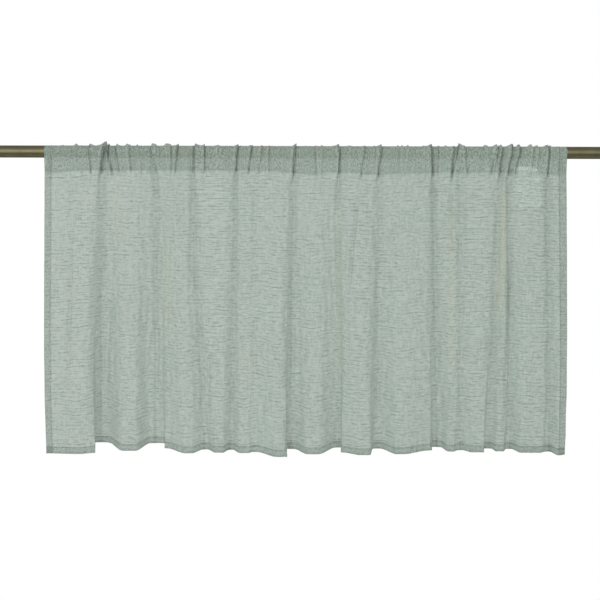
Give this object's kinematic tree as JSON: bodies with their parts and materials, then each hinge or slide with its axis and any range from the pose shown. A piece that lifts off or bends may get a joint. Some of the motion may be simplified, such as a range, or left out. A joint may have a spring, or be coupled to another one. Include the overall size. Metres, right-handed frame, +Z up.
{
  "type": "cafe curtain on a rod",
  "caption": "Sheer cafe curtain with a rod pocket heading, hanging in soft uneven folds on a plain round rod, with turned hems and a blank care label.",
  "frame": {"origin": "on the rod's axis, at the middle of the curtain's width", "axes": "+X along the rod to the right as seen from the room, +Y away from the room towards the window, +Z up"},
  "size_m": [1.04, 0.044, 0.5216],
  "materials": {
    "sheer_cloth": "sage green sheer slub weave, matte",
    "label_satin": "pale woven satin ribbon, blank",
    "antique_brass": "dark satin antique brass"
  },
  "bodies": {
    "root": {"curtain_panel": "sheer_cloth", "care_label": "label_satin", "curtain_rod": "antique_brass"}
  },
  "joints": []
}
